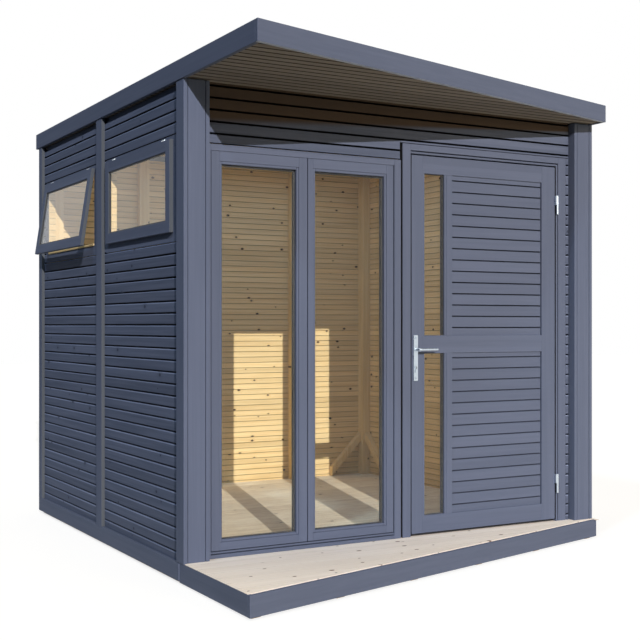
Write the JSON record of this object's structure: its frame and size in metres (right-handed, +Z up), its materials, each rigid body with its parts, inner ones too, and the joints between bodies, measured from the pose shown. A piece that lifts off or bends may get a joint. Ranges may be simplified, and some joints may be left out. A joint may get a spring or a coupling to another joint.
{
  "type": "garden office pod",
  "caption": "Timber garden office pod: flat wedge-shaped canopy and deck, full-height glazing beside a slatted hinged door, top-hung side windows.",
  "frame": {"origin": "on the ground, under the middle of the whole outline, the open rear window sash included", "axes": "+Z up, +Y from the glazed front to the back, +X to the hinge side of the door"},
  "size_m": [2.5812, 3.225, 2.439],
  "materials": {
    "paint": "slate blue-grey paint, satin",
    "bare_pine": "bare knotty pine, clear finish",
    "deck_timber": "planed pale softwood",
    "bearer_timber": "sawn softwood",
    "roof_sheet": "dark roofing membrane",
    "glass": "clear double glazing",
    "steel": "satin stainless steel"
  },
  "bodies": {
    "root": {"floor_bearers": "bearer_timber", "floor_boards": "bare_pine", "deck_boards": "deck_timber", "deck_fascia_front": "paint", "deck_fascia_sides": "paint", "skirt_boards": "paint", "left_wall_front_bay": "paint", "left_wall_rear_bay": "paint", "right_wall": "paint", "back_wall": "paint", "wall_plates": "paint", "header_over_glazing": "paint", "header_over_door": "paint", "hinge_side_boards": "paint", "front_casing_left": "paint", "front_casing_right": "paint", "front_post_left": "bare_pine", "front_post_right": "bare_pine", "rear_corner_boards": "paint", "wall_pilasters": "paint", "rear_posts": "bare_pine", "back_wall_uprights": "bare_pine", "corner_braces": "bare_pine", "glazing_frame": "paint", "glazing_sash_left": "paint", "glazing_sash_right": "paint", "glazing_panes": "glass", "side_window_frames": "paint", "side_sash_front": "paint", "side_sash_rear": "paint", "side_window_panes": "glass", "side_window_hinges": "steel", "door_frame": "paint", "door_hinges_fixed": "steel", "ceiling_boards": "paint", "roof_joists": "bare_pine", "roof_boards": "bare_pine", "roof_covering": "roof_sheet", "roof_fascia_front": "paint", "roof_fascia_left": "paint", "roof_fascia_right": "paint", "roof_fascia_back": "paint"},
    "door": {"door_leaf": "paint", "door_slat_panels": "paint", "door_panes": "glass", "door_hinges_moving": "steel", "handle_plates": "steel"},
    "lever": {"door_lever": "steel"}
  },
  "joints": [
    {"name": "door_hinge", "type": "hinge", "parent": "root", "child": "door", "pos_m": [1.04562, -0.8105, 0.107], "axis": [0, 0, 1], "range_deg": [0, 110]},
    {"name": "lever_turn", "type": "hinge", "parent": "door", "child": "lever", "pos_m": [0.08862, -0.7995, 1.08], "axis": [0, 1, 0], "range_deg": [0, 45], "stiffness_Nm_per_rad": 1.5, "springref_deg": -28.65}
  ]
}
